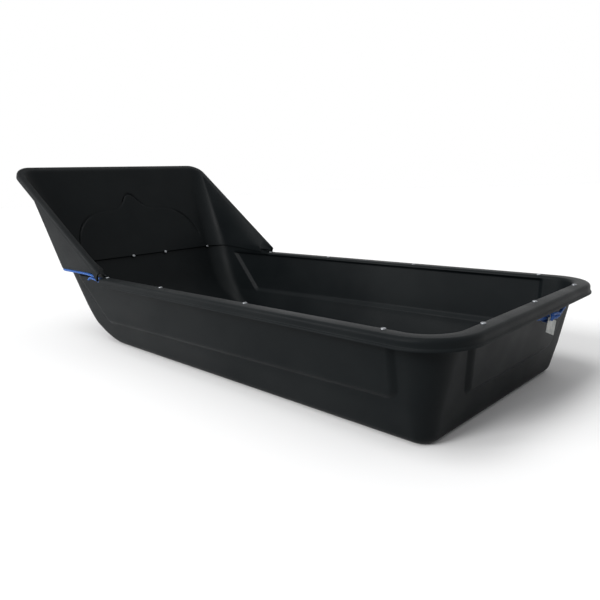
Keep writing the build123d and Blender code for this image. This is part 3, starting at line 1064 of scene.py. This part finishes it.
bundle_route = [
    in_knot(-0.003, 0.0, -0.0045), in_knot(0.030, -0.001, -0.0052), in_knot(0.075, 0.001, -0.0048),
    in_knot(0.120, 0.001, -0.0052), in_knot(0.141, 0.002, -0.004), in_knot(0.150, 0.004, 0.001),
    in_knot(0.141, 0.0052, 0.0062), in_knot(0.110, fold, 0.0042), in_knot(0.060, fold, 0.0046),
    in_knot(0.020, fold, 0.0040), in_knot(0.002, 0.0045, 0.0050), in_knot(-0.007, 0.0, 0.0064),
    in_knot(0.001, -0.0048, 0.0058), in_knot(0.030, -fold, 0.0044), in_knot(0.080, -fold, 0.0040),
    in_knot(0.128, -0.004, 0.0036), in_knot(0.142, -0.003, 0.002),
]
hitch_at = 0.0815
hitch_round = 0.0125
hitch_pitch = 0.0095
hitch_start = 0.6
hitch_route = []
for step in range(17):
    turn = step / 12
    angle = 2 * pi * turn - hitch_start
    hitch_route.append(in_knot(
        hitch_at + hitch_pitch * turn, hitch_round * cos(angle), hitch_round * sin(angle)
    ))
hitch_route += [in_knot(hitch_at + 0.012, 0.006, 0.018), in_knot(hitch_at + 0.006, 0.008, 0.020)]
bundle = laid_rope("knot_bundle", smooth_path("bundle_line", bundle_route, 16), 0.0088, 0.027)
hitch = laid_rope("knot_hitch", smooth_path("hitch_line", hitch_route, 8), 0.0080, 0.024)
for piece in (bundle, hitch):
    piece.data.materials.append(blue_rope)
    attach(piece, "root")
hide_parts("rope_knot")


# ------------------------------------------------------------------ screws
# Zinc-plated pan-head screws with a cross recess, driven down through the rim's flat band to hold the
# rope's hollow shut, and through the two mouldings where the extension laps the bow.
head_radius = 0.0055
head_height = 0.0028
head_rim = 0.0007
shank_radius = 0.002
shank_length = 0.014
shank_neck = 0.0004
screw_tip = 0.0022
thread_depth = 0.0005
thread_pitch = 0.0014
thread_turns = 8
recess_half = 0.0027
recess_width = 0.0011
recess_depth = 0.0016
recess_foot = 0.6

profile = [(0.0, -shank_length)]
for turn in range(thread_turns):
    z = screw_tip - shank_length + turn * thread_pitch
    profile += [(shank_radius - thread_depth, z), (shank_radius, z + thread_pitch / 2)]
profile += [(shank_radius, -shank_neck), (shank_radius, 0.0), (head_radius, 0.0), (head_radius, head_rim)]
head_round = head_height - head_rim
profile += [
    (head_radius - head_round * (1 - cos(angle)), head_rim + head_round * sin(angle))
    for angle in (radians(18) * step for step in range(1, 6))
]
profile += [(0.0, head_height)]
line = [(i, i + 1) for i in range(len(profile) - 1)]
screw = piece_of("screw", [(radius, 0.0, z) for radius, z in profile], [], line)
edit_all()
bpy.ops.mesh.spin(steps=24, angle=2 * pi, center=(0, 0, 0), axis=(0, 0, 1))
bpy.ops.mesh.select_all(action="SELECT")
bpy.ops.mesh.remove_doubles(threshold=weld_gap / 2)
bpy.ops.mesh.normals_make_consistent(inside=False)
bpy.ops.object.mode_set(mode="OBJECT")
# The recess is cut once, by a post with an arm drawn out of each side, narrower at its foot.
bpy.ops.object.select_all(action="DESELECT")
bpy.ops.mesh.primitive_cube_add(size=1.0, location=(0, 0, head_height))
driver = bpy.context.object
driver.scale = (recess_width, recess_width, 2 * recess_depth)
bpy.ops.object.transform_apply(location=True, rotation=True, scale=True)
bpy.ops.object.mode_set(mode="EDIT")
bpy.ops.mesh.select_mode(type="FACE")
bpy.ops.mesh.select_all(action="DESELECT")
bpy.ops.object.mode_set(mode="OBJECT")
for face in driver.data.polygons:
    face.select = abs(face.normal.z) < 0.5
bpy.ops.object.mode_set(mode="EDIT")
bpy.ops.mesh.extrude_faces_move(TRANSFORM_OT_shrink_fatten={"value": recess_half - recess_width / 2})
bpy.ops.object.mode_set(mode="OBJECT")
for corner in driver.data.vertices:
    if corner.co.z < head_height:
        corner.co.xy *= recess_foot
cut = screw.modifiers.new("recess", "BOOLEAN")
cut.object = driver
bpy.context.view_layer.objects.active = screw
bpy.ops.object.modifier_apply(modifier="recess")
bpy.data.objects.remove(driver)
edit_all()
bpy.ops.mesh.dissolve_degenerate(threshold=0.000001)
bpy.ops.object.mode_set(mode="OBJECT")


by_hand = 1.9  # each screw is turned this much on from the last, so that no two recesses line up


def place_screws(name, places):
    """A copy of the screw at each place, leaned back by an angle, as one piece."""
    bpy.ops.object.select_all(action="DESELECT")
    for i, (place, lean) in enumerate(places):
        copy = screw.copy()
        copy.data = screw.data.copy()
        bpy.context.scene.collection.objects.link(copy)
        spun = Matrix.Rotation(by_hand * i, 4, "Z")
        copy.data.transform(Matrix.Translation(place) @ Matrix.Rotation(lean, 4, "Y") @ spun)
        copy.select_set(True)
        bpy.context.view_layer.objects.active = copy
    bpy.ops.object.join()
    joined = bpy.context.object
    joined.name = name
    bpy.ops.object.shade_smooth_by_angle(angle=radians(35))
    return joined


screw_from_edge = 0.010
first_screw = rim_front - 0.008
last_screw = rim_rear + 0.155
screw_half = side_at(rim_top) + screw_from_edge
screw_rear = rear_at(rim_top) - screw_from_edge
rim_places = [
    (Vector((mix_of(first_screw, last_screw, share), side * screw_half, rim_top)), 0.0)
    for share in (0.0, 0.29, 0.63, 1.0) for side in (1, -1)
]
rim_places += [(Vector((screw_rear, y, rim_top)), 0.0) for y in (-0.252, -0.020, 0.212)]
seam_z = rim_top + 0.017
seam_x = bow_at(seam_z, sheet + margin_inset)
inner_screw = 0.072
outer_screw = side_at(seam_z, 0.0) - 0.066
seam_places = [
    (Vector((seam_x, y, seam_z)), bow_lean - pi / 2)
    for y in (-outer_screw, -inner_screw, inner_screw, outer_screw)
]
rim_heads = place_screws("rim_screw_row", rim_places)
seam_heads = place_screws("seam_screw_row", seam_places)
bpy.data.objects.remove(screw)
zinc_dark = (0.16, 0.17, 0.18)
zinc_light = (0.32, 0.33, 0.35)
zinc, nodes, links, shader = shader_of("zinc_plate", zinc_light, 0.42)
shader.inputs["Metallic"].default_value = 1.0
links.new(cloudy(nodes, links, 220.0, 4.0, zinc_dark, zinc_light), shader.inputs["Base Color"])
links.new(cloudy(nodes, links, 500.0, 3.0, 0.34, 0.55), shader.inputs["Roughness"])
raise_grain(nodes, links, shader, 2500.0, 2.0, 0.0001, 0.3)
for heads, node in ((rim_heads, "rim_screws"), (seam_heads, "seam_screws")):
    heads.data.materials.clear()
    heads.data.materials.append(zinc)
    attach(heads, "root")
    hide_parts(node)


# ------------------------------------------------------------------ tag
# A blank card in a clear sleeve, hung from the knot by a loop of fine white cord through the card's hole.
card_dark = (0.30, 0.32, 0.30)
card_light = (0.52, 0.53, 0.50)
card, nodes, links, shader = shader_of("sleeved_card", card_light, 0.35)
links.new(cloudy(nodes, links, 55.0, 4.0, card_dark, card_light), shader.inputs["Base Color"])
links.new(cloudy(nodes, links, 120.0, 3.0, 0.25, 0.5), shader.inputs["Roughness"])
raise_grain(nodes, links, shader, 90.0, 3.0, 0.002, 0.4)
cord_dark = (0.24, 0.25, 0.25)
cord_light = (0.42, 0.43, 0.43)
tie_cord, nodes, links, shader = shader_of("tie_cord", cord_light, 0.7)
links.new(cloudy(nodes, links, 900.0, 3.0, cord_dark, cord_light), shader.inputs["Base Color"])
raise_grain(nodes, links, shader, 2500.0, 2.0, 0.0002, 0.6)
for node, finish in (("hang_tag", card), ("tag_tie", tie_cord)):
    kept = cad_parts[node]
    kept.data.materials.clear()
    kept.data.materials.append(finish)
